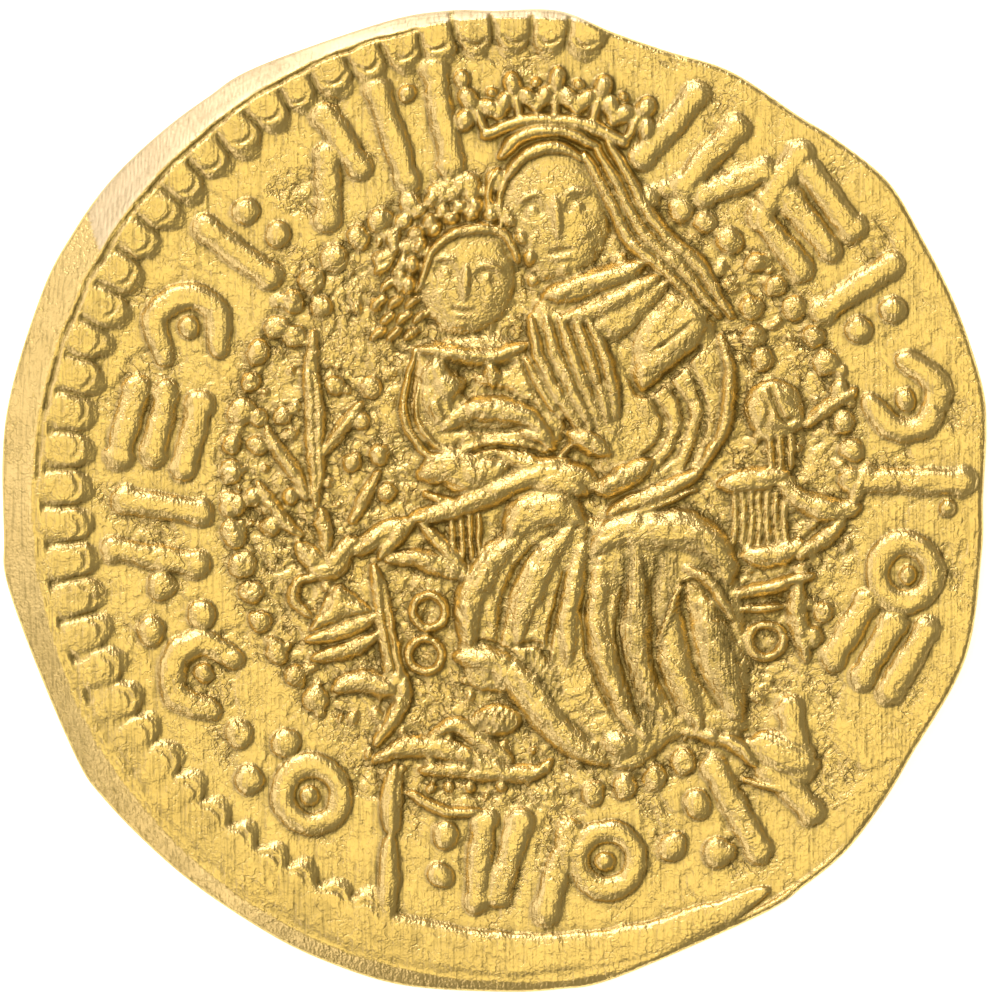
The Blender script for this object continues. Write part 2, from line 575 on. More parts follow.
# Width, height, places
FIGURE_RIDGES = {
    "collar": (0.7, 0.27, [(1.1, 4.35), (2.15, 4.65), (3.1, 5.0)]),
    "low collar": (0.62, 0.27, [(1.45, 3.85), (2.4, 4.15), (3.45, 4.75)]),
    "child shoulders": (0.42, 0.25, [(-1.6, 3.25), (-1.0, 3.15), (-0.4, 3.05), (0.2, 3.15), (0.7, 3.35)]),
    "child upper arm": (0.95, 0.24, [(-1.25, 3.0), (-1.25, 2.35), (-1.1, 1.7)]),
    "child upper arm boss": (1.0, 0.27, [(-1.15, 2.7), (-1.05, 2.15)]),
    "child chest": (0.45, 0.22, [(-0.1, 2.9), (-0.05, 2.45)]),
    "child forearm": (0.62, 0.27, [(-1.1, 1.55), (-0.6, 1.85), (0.1, 1.95), (0.7, 1.75), (1.2, 1.3)]),
    "child hand": (0.3, 0.24, [(0.5, 1.45), (0.95, 1.3), (1.25, 1.1)]),
    "child right fold": (0.28, 0.22, [(0.65, 3.1), (1.0, 2.4), (1.45, 1.75)]),
    "child hem": (0.2, 0.17, [(-1.7, 3.2), (-1.9, 2.5), (-1.9, 1.7), (-1.5, 1.0), (-0.95, 0.8), (-0.1, 1.0),
                              (0.6, 0.95), (1.2, 0.8), (1.65, 1.2)]),
    "child inner hem": (0.17, 0.18, [(-1.66, 2.5), (-1.64, 1.75), (-1.3, 1.2), (-0.8, 1.08), (-0.1, 1.24),
                                     (0.6, 1.18), (1.15, 1.02)]),
    "child leg": (0.95, 0.27, [(-1.55, 0.55), (-1.0, 0.72), (-0.4, 0.55), (0.2, 0.7)]),
    "child shin": (0.4, 0.22, [(0.15, 0.95), (0.8, 0.75), (1.55, 0.85)]),
    "child sole": (0.25, 0.16, [(-1.5, 0.15), (-0.8, -0.02), (0.0, 0.2)]),
    "mother hand": (0.62, 0.28, [(1.6, 1.4), (2.0, 1.25), (2.45, 0.95)]),
    "low hand": (0.62, 0.28, [(2.25, 0.2), (2.8, 0.5), (3.3, 0.85)]),
    "lap edge": (0.52, 0.25, [(2.45, -0.25), (3.4, 0.1), (4.35, 0.6)]),
    "lap hem": (0.18, 0.2, [(2.4, -0.5), (3.4, -0.15), (4.3, 0.2)]),
    "lap drape": (0.62, 0.26, [(-1.8, -0.4), (-0.65, -0.1), (0.35, 0.35), (1.1, 0.6), (1.8, 0.55),
                               (2.25, 0.25)]),
    "lap lump": (0.85, 0.28, [(0.9, 0.3), (1.4, 0.4), (1.95, 0.2)]),
    "left knee": (1.05, 0.29, [(0.3, -0.75), (0.75, -0.3), (1.35, -0.2), (1.8, -0.45)]),
    "right knee": (1.05, 0.3, [(2.15, -1.15), (2.5, -0.75), (3.2, -0.65), (4.0, -0.7), (4.6, -1.0),
                               (5.0, -1.7)]),
    "left fold": (0.85, 0.27, [(0.5, -0.8), (-0.1, -1.4), (-0.5, -2.2), (-0.55, -3.1)]),
    "slant fold": (0.8, 0.26, [(1.6, -0.6), (1.0, -1.4), (0.65, -2.2), (0.5, -3.0)]),
    "middle fold": (0.62, 0.25, [(1.9, -0.9), (1.7, -1.8), (1.55, -2.6), (1.6, -3.5)]),
    "long fold": (0.7, 0.26, [(2.3, -1.3), (2.2, -2.4), (2.35, -3.4), (2.8, -4.5), (3.25, -5.1)]),
    "third fold": (0.72, 0.27, [(3.0, -0.9), (3.05, -2.0), (3.0, -3.0), (3.3, -4.1), (3.6, -4.7)]),
    "hem fold": (0.85, 0.27, [(-0.75, -3.35), (0.1, -3.5), (0.75, -4.1), (1.3, -4.85), (2.3, -5.6)]),
    "right leg": (0.95, 0.28, [(4.45, -2.1), (4.6, -3.0), (4.95, -3.9), (5.2, -4.6)]),
    "right panel": (0.8, 0.27, [(3.75, -2.2), (3.8, -3.2), (4.1, -4.2), (4.35, -4.9)]),
    "right flap": (0.35, 0.29, [(4.0, -1.4), (4.6, -1.75), (5.1, -2.6)]),
    "right hem": (0.4, 0.22, [(4.0, -4.95), (4.65, -5.05), (5.15, -5.2), (5.6, -5.7)]),
    "scratch": (0.14, 0.37, [(4.0, -1.8), (3.7, -2.5), (3.45, -3.1)]),
    "cloak edge": (0.34, 0.2, [(4.85, 3.5), (5.0, 2.6), (4.85, 1.5), (4.35, 0.6)]),
}
FOLD_RIPPLE = 0.012
HATCH = dict(spacing=0.14, deep=0.02, edge=0.1)
# Direction, outline
HATCHED = [
    (75, [(2.45, -2.3), (3.35, -2.2), (3.5, -4.8), (2.85, -4.6)]),
    (70, [(3.3, -1.2), (3.95, -1.1), (3.85, -2.6), (3.45, -2.9)]),
    (60, [(0.55, -3.3), (1.25, -3.2), (1.5, -4.2), (1.1, -4.3)]),
    (105, [(4.2, -2.2), (4.95, -2.5), (5.3, -4.3), (4.7, -4.1)]),
    (110, [(4.0, -0.8), (4.8, -1.0), (5.1, -2.2), (4.4, -1.7)]),
    (75, [(2.5, -1.3), (3.3, -1.2), (3.4, -2.7), (2.7, -2.6)]),
    (60, [(-0.4, -4.5), (0.4, -4.45), (0.5, -4.95), (-0.3, -4.95)]),
    (60, [(2.3, 0.15), (2.7, 0.6), (3.3, 0.95), (3.0, 0.4)]),
    (65, [(3.1, 2.6), (3.5, 3.1), (4.2, 3.6), (4.1, 3.1), (3.6, 2.6)]),
]
print("masses", len(MASSES), "grooves", len(GROOVES), "ridges", len(FIGURE_RIDGES))

# %% [markdown]
# ## Heads, hair and crown
# The faces are plain and calm, with the eyes on the middle line and the nose and mouth at thirds. The hair is
# strands that run side by side, or small curls in rows, and the crown is five trefoils of pearls on a band.

# %% Heads
# Shares of half the face's width across, and of half its height upwards
FACE = dict(eye_apart=0.42, eye_level=0.02, nose_top=0.1, nose_end=-0.36, mouth=-0.56, brow=0.24)
SOCKET = [(0.16, 0.02), (0.42, 0.08), (0.68, 0.0)]
BROW = [(0.14, -0.04), (0.42, 0.03), (0.72, -0.04)]
LIP = [(-0.24, 1.0), (0, 1.2), (0.24, 1.0)]
CHILD_BROW = [(-1.6, 4.6), (-1.4, 5.2), (-0.9, 5.65), (-0.3, 5.8), (0.25, 5.6), (0.5, 5.1)]
# Number of strands, width, height, first path, last path
STRANDS = {
    "veil": (5, 0.38, 0.27, [(0.75, 3.9), (1.1, 2.75), (1.85, 1.45)], [(2.0, 3.9), (2.4, 2.9), (2.6, 1.75)]),
    "mother right": (3, 0.36, 0.25, [(1.9, 7.45), (2.45, 6.4), (2.9, 5.5), (3.8, 4.75), (4.5, 3.9)],
                     [(2.4, 7.7), (2.95, 6.75), (3.45, 5.85), (4.35, 5.0), (5.05, 3.9)]),
    "mother crest": (2, 0.36, 0.25, [(0.25, 6.9), (0.6, 7.35), (1.3, 7.5), (1.9, 7.3)],
                     [(0.1, 7.35), (0.55, 7.75), (1.4, 7.85), (2.2, 7.6)]),
    "child brow": (1, 0.3, 0.26, CHILD_BROW, CHILD_BROW),
    "mother left": (2, 0.18, 0.2, [(0.25, 6.9), (0.1, 6.3), (0.15, 5.7)],
                    [(0.05, 7.1), (-0.15, 6.5), (-0.05, 6.0)]),
}
# Number of lumps, size along, size across, height, path
CURLS = {
    "child band": (10, 0.2, 0.16, 0.24, [(-1.85, 4.6), (-1.65, 5.4), (-1.05, 5.95), (-0.3, 6.1),
                                         (0.4, 5.85), (0.75, 5.2)]),
    "child second": (10, 0.2, 0.17, 0.19, [(-2.0, 4.7), (-1.85, 5.5), (-1.2, 6.1), (-0.4, 6.3), (0.25, 6.1)]),
    "child third": (7, 0.22, 0.18, 0.15, [(-2.3, 5.2), (-2.0, 5.9), (-1.35, 6.4), (-0.55, 6.55)]),
}
LEAF_CURLS = dict(x=-2.2, y=5.3, across=3, down=6, step_x=0.36, step_y=0.36, long=0.34, wide=0.2, high=0.16)
CROWN = dict(x=1.15, y=5.2, radius=2.92, first=117, last=57, points=5, stem=0.7)
# Degrees to the side and distance out of each pearl of a trefoil
TREFOIL = [(-4.8, 0.5), (4.8, 0.5), (0, 0.85)]


def strike_head(relief, head):
    """An oval dome. On each side come an eye in its socket, a brow and a cheek, then nose, mouth, lips and
    chin."""
    cos, sin = math.cos(head["turn"]), math.sin(head["turn"])
    half, tall, high = head["half"], head["tall"], head["high"]

    def at(across, up):
        return (head["x"] + across * half * cos - up * tall * sin,
                head["y"] + across * half * sin + up * tall * cos)

    relief.boss(head["x"], head["y"], half, high, other=tall, turn=head["turn"])
    for side in (-1, 1):
        relief.groove([at(side * across, up) for across, up in SOCKET], 0.36 * half, 0.05)
        relief.boss(*at(side * FACE["eye_apart"], FACE["eye_level"]), 0.2 * half, high, other=0.14 * tall)
        brow = [at(side * across, FACE["brow"] + up) for across, up in BROW]
        relief.ridge(brow, 0.17 * half, high + 0.04)
        relief.boss(*at(side * 0.48, -0.34), 0.32 * half, high - 0.01, other=0.26 * tall, top=soft_top)
    relief.ridge([at(0, FACE["nose_top"] + 0.1), at(0, FACE["nose_end"])], 0.3 * half, high + 0.07, end=0.6)
    relief.groove([at(-0.26, FACE["mouth"]), at(0.26, FACE["mouth"])], 0.16 * half, 0.05)
    for up in (0.07, -0.08):
        lip = [at(across, FACE["mouth"] + up * bow) for across, bow in LIP]
        relief.ridge(lip, 0.15 * half, high)
    relief.boss(*at(0, -0.82), 0.26 * half, high - 0.03, other=0.12 * tall, top=soft_top)


def strike_strands(relief, strands):
    """Strands spread evenly between a first and a last one."""
    count, wide, high, first, last = strands
    for share in np.linspace(0, 1, count):
        relief.ridge(np.array(first) * (1 - share) + np.array(last) * share, wide, high)


def strike_crown(relief):
    """Trefoils of three pearls on stems along the band, with a pearl between each two."""
    degrees = np.linspace(CROWN["first"], CROWN["last"], CROWN["points"])
    relief.ridge([around(CROWN, d, CROWN["radius"]) for d in degrees], 0.34, 0.2, end=0.8)
    for d in degrees:
        stem = [around(CROWN, d, CROWN["radius"] + out) for out in (0, CROWN["stem"])]
        relief.ridge(stem, 0.24, 0.16)
        for across, out in TREFOIL:
            relief.boss(*around(CROWN, d + across, CROWN["radius"] + out), 0.3, 0.19, other=0.21,
                        turn=math.radians(d - 8 * across))
    for d in (degrees[1:] + degrees[:-1]) / 2:
        relief.boss(*around(CROWN, d, CROWN["radius"] + 0.3), 0.17, 0.17)
        relief.boss(*around(CROWN, d, CROWN["radius"] + 0.8), 0.14, 0.14, top=soft_top)


def strike_leaf_curls(relief):
    """Small slanted leaves in rows beside the child's hair, each row set half a leaf on."""
    sizes = LEAF_CURLS
    for row in range(sizes["down"]):
        for column in range(sizes["across"]):
            x = sizes["x"] + column * sizes["step_x"] - 0.18 * (row % 2) - 0.03 * row
            y = sizes["y"] - row * sizes["step_y"]
            leaf = [(x - 0.14, y - 0.1), (x, y + 0.03), (x + sizes["long"] / 2, y + 0.12)]
            relief.ridge(leaf, sizes["wide"], sizes["high"])


# Place, size along, height, size across
FOOT_LUMPS = [(0.05, -4.7, 0.55, 0.22, 0.34), (2.65, -5.2, 0.45, 0.26, 0.35)]


def strike_ridges(relief, table):
    for wide, high, points in table.values():
        relief.ridge(points, wide, high, top=full_top, ripple=FOLD_RIPPLE)


def strike_figures(relief):
    for high, slope, points in MASSES.values():
        relief.mass(points, high, slope)
    for wide, deep, points in GROOVES.values():
        relief.groove(points, wide, deep)
    strike_ridges(relief, FIGURE_RIDGES)
    for head in HEADS.values():
        strike_head(relief, head)
    for strands in STRANDS.values():
        strike_strands(relief, strands)
    for count, along, across, high, points in CURLS.values():
        relief.row(points, count, along, high, other=across)
    strike_leaf_curls(relief)
    strike_crown(relief)
    for x, y, along, high, across in FOOT_LUMPS:
        relief.boss(x, y, along, high, other=across)
    for degrees, points in HATCHED:
        relief.hatch(points, degrees, **HATCH)


print("strands", len(STRANDS), "rows of curls", len(CURLS))

# %% [markdown]
# ## Throne and vase
# Thin posts, rings and leaves make the seat, and a flower in a vase stands at the left of it.

# %% Throne and vase
# Width, height or depth, places
THRONE_RIDGES = {
    "left post": (0.5, 0.18, [(-2.6, -1.4), (-2.35, -2.6), (-2.2, -3.5), (-1.95, -4.25), (-2.55, -5.2)]),
    "seat edge": (0.42, 0.2, [(-2.45, -1.2), (-2.0, -0.6), (-1.7, -0.4)]),
    "wing": (0.5, 0.18, [(-3.0, -1.15), (-2.5, -0.75), (-1.95, -0.45)]),
    "leaf a": (0.4, 0.18, [(-1.6, -0.45), (-1.05, -1.1), (-0.55, -1.7)]),
    "leaf b": (0.5, 0.2, [(-2.3, -1.25), (-1.65, -1.25), (-0.55, -1.65)]),
    "roof": (0.55, 0.2, [(-2.55, -5.55), (-1.8, -5.25), (-0.95, -5.35), (0.0, -5.7), (0.5, -5.9)]),
    "roof band": (0.45, 0.17, [(-1.6, -5.75), (-0.6, -5.8), (0.75, -5.85), (1.2, -5.6)]),
    "roof arch": (0.45, 0.18, [(-1.45, -5.15), (-0.85, -4.8), (-0.3, -5.1), (0.35, -5.6)]),
    "upper left foot": (0.55, 0.16, [(-2.15, -5.7), (-2.2, -7.15)]),
    "lower left foot": (0.52, 0.15, [(-2.25, -7.2), (-2.3, -9.0)]),
    "finial post a": (0.18, 0.16, [(5.84, 1.5), (5.92, 0.55)]),
    "finial post b": (0.18, 0.16, [(6.05, 1.5), (6.13, 0.6)]),
    "finial post c": (0.18, 0.16, [(6.27, 1.5), (6.35, 0.65)]),
    "lens": (0.6, 0.2, [(4.8, 0.3), (5.5, 0.45), (6.25, 0.55)]),
    "arm rest": (0.62, 0.22, [(6.15, 0.3), (6.6, -0.02), (7.2, -0.2), (7.75, -0.15)]),
    "arm rest end": (0.35, 0.16, [(7.65, -0.1), (7.85, 0.6)]),
    "scroll base": (0.55, 0.19, [(5.3, -1.15), (6.0, -1.15), (6.6, -0.95)]),
    "scroll rise": (0.42, 0.18, [(6.45, -1.25), (7.0, -0.85), (7.45, -0.35)]),
    "sprig": (0.4, 0.17, [(6.6, 1.6), (7.15, 2.0), (7.7, 2.35)]),
    "rail": (0.38, 0.2, [(5.05, -2.05), (5.9, -1.85), (6.8, -1.65)]),
    "rail low": (0.22, 0.15, [(5.2, -2.35), (6.2, -2.25)]),
    "right post": (0.5, 0.18, [(6.5, -1.7), (6.45, -2.6), (6.65, -3.4)]),
    "right foot": (1.0, 0.2, [(5.45, -5.2), (6.1, -5.4), (6.75, -5.65)]),
    "right foot edge": (0.2, 0.14, [(5.3, -6.0), (6.1, -6.2), (6.75, -6.45)]),
    "crescent": (0.3, 0.14, [(-1.85, -6.2), (-1.1, -6.65), (-0.3, -6.6)]),
}
THRONE_GROOVES = {
    "post line": (0.14, 0.09, [(-2.45, -1.7), (-2.25, -2.9), (-2.1, -3.7)]),
    "ball curl": (0.2, 0.12, [(5.95, 2.4), (6.0, 2.0), (6.2, 1.7), (6.4, 1.75)]),
    "ball side": (0.16, 0.09, [(5.7, 2.3), (5.85, 1.95), (5.75, 1.5)]),
}
LILY_RIDGES = {
    "stem": (0.48, 0.17, [(-3.9, 3.55), (-3.85, 1.5), (-3.8, -0.1)]),
    "leaf a": (0.36, 0.15, [(-4.9, 1.5), (-4.5, 0.9), (-4.0, 0.05)]),
    "leaf b": (0.36, 0.15, [(-5.1, 0.35), (-4.6, -0.3), (-4.15, -0.75)]),
    "leaf c": (0.34, 0.15, [(-2.9, 2.1), (-3.25, 1.6), (-3.65, 1.0)]),
    "leaf d": (0.34, 0.15, [(-2.45, 0.6), (-2.8, 0.1), (-3.05, -0.5)]),
    "neck": (0.4, 0.15, [(-3.7, -0.2), (-3.6, -1.1)]),
    "bowl": (0.6, 0.2, [(-4.2, -0.95), (-3.6, -1.45), (-2.95, -0.85)]),
    "handle": (0.3, 0.15, [(-3.7, -1.6), (-4.2, -1.75), (-4.3, -2.15), (-3.9, -2.5)]),
    "bar a": (0.4, 0.19, [(-4.0, -3.0), (-3.2, -2.8), (-2.5, -2.45)]),
    "bar b": (0.4, 0.19, [(-3.9, -3.4), (-3.2, -3.2), (-2.45, -2.85)]),
    "bud": (0.6, 0.2, [(-3.4, -4.0), (-2.7, -3.85), (-2.0, -4.15)]),
}
# Height, slope, outline; then width, depth, places
VASE_BODY = (0.2, 0.4, [(-3.35, -1.75), (-2.9, -2.1), (-2.6, -2.4), (-3.3, -2.65), (-3.95, -2.8),
                        (-3.7, -2.3)])
STEM_LINE = (0.12, 0.08, [(-3.86, 3.0), (-3.84, 1.5), (-3.8, 0.2)])


THRONE_PANEL = (1.3, 0.05, [(5.05, -0.4), (6.25, -0.4)])
THRONE_BALL = (5.97, 1.92, 0.66, 0.24)
THRONE_RINGS = [(-1.43, -2.37), (-1.49, -3.33), (5.78, -3.03)]
RING = dict(radius=0.36, wide=0.2, high=0.15)
# First bar, last bar, count, length
BARS = [((-0.9, -0.35), (-0.35, -0.35), 4, 0.9), ((5.1, 0.15), (6.2, 0.15), 7, 1.05)]
BAR_WIDE, BAR_HIGH = 0.13, 0.12
ROOF_DOTS = dict(xs=(-1.35, -0.98, -0.5, 0.15), y=-6.15, radius=0.12, high=0.12)


def strike_throne(relief):
    """The sunk panel comes first, then posts, ball, rings, two rows of upright bars, and dots in the roof."""
    wide, deep, points = THRONE_PANEL
    relief.groove(points, wide, deep, end=0.9)
    strike_ridges(relief, THRONE_RIDGES)
    relief.boss(*THRONE_BALL)
    for wide, deep, points in THRONE_GROOVES.values():
        relief.groove(points, wide, deep)
    for x, y in THRONE_RINGS:
        relief.ring(x, y, **RING)
    for first, last, count, long in BARS:
        for x, y in np.linspace(first, last, count):
            relief.ridge([(x, y), (x, y - long)], BAR_WIDE, BAR_HIGH, end=0.8)
    for x in ROOF_DOTS["xs"]:
        relief.boss(x, ROOF_DOTS["y"], ROOF_DOTS["radius"], ROOF_DOTS["high"])


def strike_vase(relief):
    strike_ridges(relief, LILY_RIDGES)
    high, slope, points = VASE_BODY
    relief.mass(points, high, slope)
    wide, deep, points = STEM_LINE
    relief.groove(points, wide, deep)


print("throne ridges:", len(THRONE_RIDGES), "vase ridges:", len(LILY_RIDGES))

# %% [markdown]
# ## The struck face
# The forms go on the field first. Then come the rim outside the beads, and the orange peel of hammered metal,
# which is coarse and cracked among the figures and flows outwards between the strokes. Last comes the file
# bevel, which cuts whatever reaches into it.


# %% Face heights
# Each layer of the uneven metal: height, size, seed
BROAD_WAVES = [(0.012, 1.7, 1), (0.010, 0.7, 2)]
LUMPS = [(0.022, 0.36, 3), (0.012, 0.17, 4), (0.006, 0.09, 10)]
CREASES = [(0.025, 0.5, 5), (0.015, 0.26, 8)]
CRACKS = [(0.04, 0.7, 61), (0.03, 0.4, 62), (0.02, 0.22, 63)]
FLOW_LINES, FLOW_LUMPS = [(0.007, 0.12, 6)], [(0.006, 0.25, 7)]
FLOW_DRAWN = 0.25
# Above this height a place counts as part of a form
FORM_STEP = 0.08
FACE_TOP = CAD_BOX[1][2] / MM - 0.002


def bevel_top(x, y):
    """Height of the filed bevel: it falls outwards from a circle that is off to the right, so that it is
    wide on the left of the coin and misses the right."""
    out = np.hypot(x - BEVEL_CENTRE[0], y - BEVEL_CENTRE[1]) - BEVEL_TOP_RADIUS
    return RIM_TOP - np.maximum(out, 0) / BEVEL_SLOPE + np.where(out < 0, 1.0, 0)


def roughness(x, y):
    """One inside the pearls, and in patches between the strokes of the legend, where the die was rough."""
    reach = np.hypot(x - PEARLS["x"], y - PEARLS["y"])
    inner = 1 - soft_step((reach - PEARLS["radius"]) / 0.5)
    patches = 0.7 * soft_step((noise(x, y, 1.3, 9) - 0.1) / 0.25)
    border = soft_step((np.hypot(x - BORDER["x"], y - BORDER["y"]) - BORDER["inner"]) / 0.3)
    return np.maximum(inner, patches * (1 - 0.8 * border))


def calm(x, y):
    """One on the faces, which are kept clear of the rough metal."""
    share = np.zeros_like(x)
    for head in HEADS.values():
        far = np.hypot((x - head["x"]) / head["half"], (y - head["y"]) / head["tall"])
        share = np.maximum(share, 1 - soft_step((far - 0.75) / 0.3))
    return share


def layers(kind, table, x, y):
    """The sum of a texture's layers, each times its height."""
    return sum(high * kind(x, y, size, seed) for high, size, seed in table)


def hammered(x, y):
    """Uneven metal: broad waves, then lumps and creases of a few sizes, strong where the die was rough.
    Elsewhere the metal is smooth and drawn outwards."""
    reach = np.hypot(x - PEARLS["x"], y - PEARLS["y"])
    rough = roughness(x, y)
    along = np.arctan2(y - PEARLS["y"], x - PEARLS["x"]) * LEGEND["radius"]
    broad, lumps = layers(noise, BROAD_WAVES, x, y), layers(noise, LUMPS, x, y)
    folded, cracked = layers(creases, CREASES, x, y), layers(cracks, CRACKS, x, y)
    flow = layers(noise, FLOW_LINES, along, reach * FLOW_DRAWN) + layers(noise, FLOW_LUMPS, x, y)
    return broad + rough * (lumps - folded) + (1 - rough) * flow - (0.3 + 0.7 * rough) * cracked


def strike_face():
    """The order matters only where a groove cuts what was struck before it."""
    relief = Relief(map_x / FIT + DESIGN_CENTRE[0], map_y / FIT + DESIGN_CENTRE[1], wander=0.05)
    strike_crumbs(relief)
    strike_beads(relief)
    strike_bevel_line(relief)
    strike_legend(relief)
    strike_pearls(relief)
    strike_figures(relief)
    strike_throne(relief)
    strike_vase(relief)
    return relief


def face_heights(relief):
    """Field, plus the higher of rim and forms, plus the uneven metal, cut by the bevel and the box."""
    from_border = np.hypot(relief.x - BORDER["x"], relief.y - BORDER["y"])
    rim = (RIM_TOP - FIELD) * soft_step((from_border - BORDER["lip"]) / BORDER["lip_slope"])
    forms = np.maximum(rim, relief.high)
    on_form = soft_step(relief.high / FORM_STEP)
    uneven = hammered(relief.x, relief.y) * (1 - 0.2 * on_form) * (1 - 0.75 * calm(relief.x, relief.y))
    heights = FIELD + forms + uneven
    heights = np.minimum(heights, bevel_top(relief.x, relief.y))
    return np.minimum(heights, FACE_TOP)


struck = strike_face()
face_map = face_heights(struck)
form_map = soft_step(struck.high / FORM_STEP)
print("face heights from", face_map.min().round(3), "to", face_map.max().round(3), "mm")

# %% [markdown]
# ## The reverse
# The photograph doesn't show it. It is finished in keeping and plainer: a cross in a ring, with the same
# kinds of marks round it, inside a flat rim that the coin lies on.

# %% Back heights
BACK_RIM_INNER = 9.3
BACK_RIM_SLOPE = 0.25
BACK_HIGH = 0.12
BACK_LEGEND = dict(x=0, y=0, radius=7.9, high=0.11)
BACK_MARKS = 12
BACK_RING = dict(radius=6.3, wide=0.4)
BACK_CROSS = dict(arms=4, places=(1.1, 3.2, 4.9), wide=1.2)
BACK_DOT = dict(reach=3.2, radius=0.55)
BACK_BOSS = 0.8
BACK_WAVES = [(0.008, 1.6, 15), (0.008, 0.4, 16)]


def strike_back():
    """Worked out as seen from below, and measured down from the reverse's field."""
    relief = Relief(map_x, map_y, wander=0.04)
    kinds = list(MARKS)
    for i in range(BACK_MARKS):
        strike_mark(relief, BACK_LEGEND, 360 * i / BACK_MARKS, kinds[(i * 3) % len(kinds)])
    relief.ring(0, 0, BACK_RING["radius"], BACK_RING["wide"], BACK_HIGH)
    for i in range(BACK_CROSS["arms"]):
        angle = i * math.pi / 2
        arm = [(reach * math.cos(angle), reach * math.sin(angle)) for reach in BACK_CROSS["places"]]
        relief.ridge(arm, BACK_CROSS["wide"], BACK_HIGH, end=0.9)
        tip, reach = angle + math.pi / 4, BACK_DOT["reach"]
        relief.boss(reach * math.cos(tip), reach * math.sin(tip), BACK_DOT["radius"], BACK_HIGH)
    relief.boss(0, 0, BACK_BOSS, BACK_HIGH)
    rim = soft_step((np.hypot(map_x, map_y) - BACK_RIM_INNER + BACK_RIM_SLOPE) / BACK_RIM_SLOPE)
    waves = layers(noise, BACK_WAVES, map_x, map_y)
    return (BACK_FIELD - np.minimum(relief.high, BACK_HIGH) + waves) * (1 - rim)


back_map = strike_back()
print("back heights from", back_map.min().round(3), "to", back_map.max().round(3), "mm")

# %% [markdown]
# ## Grids on a round coin
# A grid made of rings crowds its points at the middle and starves the border. So the middle of the coin is a
# square grid whose squares are pulled into rings, with cells of nearly one size and no pole, and only the
# outer parts are rings. The skin is three closed meshes that fit into each other like inlays, because one
# mesh fine enough to carry the strokes would be too large. They are the figures, the band of the legend, and
# the body with the border, the edge and the reverse.

# %% Grids
# Points along a side, rings, borders of the inlays in mm, and the flat seat that they lie on
FIGURE_COUNT = 299
BACK_COUNT = (FIGURE_COUNT - 1) // 2 + 1
BAND_RINGS = 77
RIM_RINGS = 34
FIGURE_RADIUS = 6.95
BAND_RADIUS = 9.4
SEAT = 0.35
SEAT_GAP = 0.01
TUCK = 0.002


def to_circle(circle, radius, angle):
    """How far a ray from the coin's middle runs until it meets a circle about another middle."""
    x, y = (circle["x"] - DESIGN_CENTRE[0]) * FIT, (circle["y"] - DESIGN_CENTRE[1]) * FIT
    along = x * np.cos(angle) + y * np.sin(angle)
    return along + np.sqrt((radius * FIT) ** 2 - x * x - y * y + along * along)


def to_figures(angle):
    return to_circle(PEARLS, FIGURE_RADIUS, angle)


def to_band(angle):
    return to_circle(BORDER, BAND_RADIUS, angle)


def to_edge(angle):
    return edge_radius(angle) - EDGE_ROUND


def round_grid(count, reach):
    """Square corner (a, b): the larger of the two is the share of the way to the border, and their ratio
    turns the point by up to an eighth of a turn from the nearest axis."""
    b, a = np.meshgrid(np.linspace(-1, 1, count), np.linspace(-1, 1, count), indexing="ij")
    wide = np.abs(a) >= np.abs(b)
    larger = np.where(wide, a, b)
    ratio = np.where(wide, b, a) / np.where(larger == 0, 1, larger)
    turn = np.where(wide, ratio * np.pi / 4, np.pi / 2 - ratio * np.pi / 4)
    angle = np.arctan2(larger * np.sin(turn), larger * np.cos(turn))
    far = np.abs(larger) * reach(angle)
    return far * np.cos(angle), far * np.sin(angle)


def border_of(grid):
    """A grid's border, once round against the clock."""
    return np.concatenate([grid[0, :-1], grid[:-1, -1], grid[-1, :0:-1], grid[:0:-1, 0]])


def rings_between(inner, outer, count, angle):
    """Distance = inner * (1 - share) + outer * share, along rays from the coin's middle."""
    share = np.linspace(0, 1, count + 1)[:, None]
    far = inner(angle) * (1 - share) + outer(angle) * share
    return far * np.cos(angle), far * np.sin(angle)


figure_x, figure_y = round_grid(FIGURE_COUNT, to_figures)
turns = np.arctan2(border_of(figure_y), border_of(figure_x))
print("figure cells", (FIGURE_COUNT - 1) ** 2, "band cells", BAND_RINGS * len(turns), "rays", len(turns))

# %% [markdown]
# ## Skins
# A skin gathers points and the faces between them. The walls are flat and the struck surface is smooth, and
# each wall starts a hair beside the surface, so that the surface keeps its own normals along its border.


# %% A skin of grids and loops
def tucked(x, y, out):
    """A border's points, moved out or in by a hair: point * (1 + tuck / distance). So a wall starts just
    under the neighbour and doesn't turn the normals of the struck surface."""
    far = np.hypot(x, y)
    share = 1 + out * TUCK / far
    return x * share, y * share


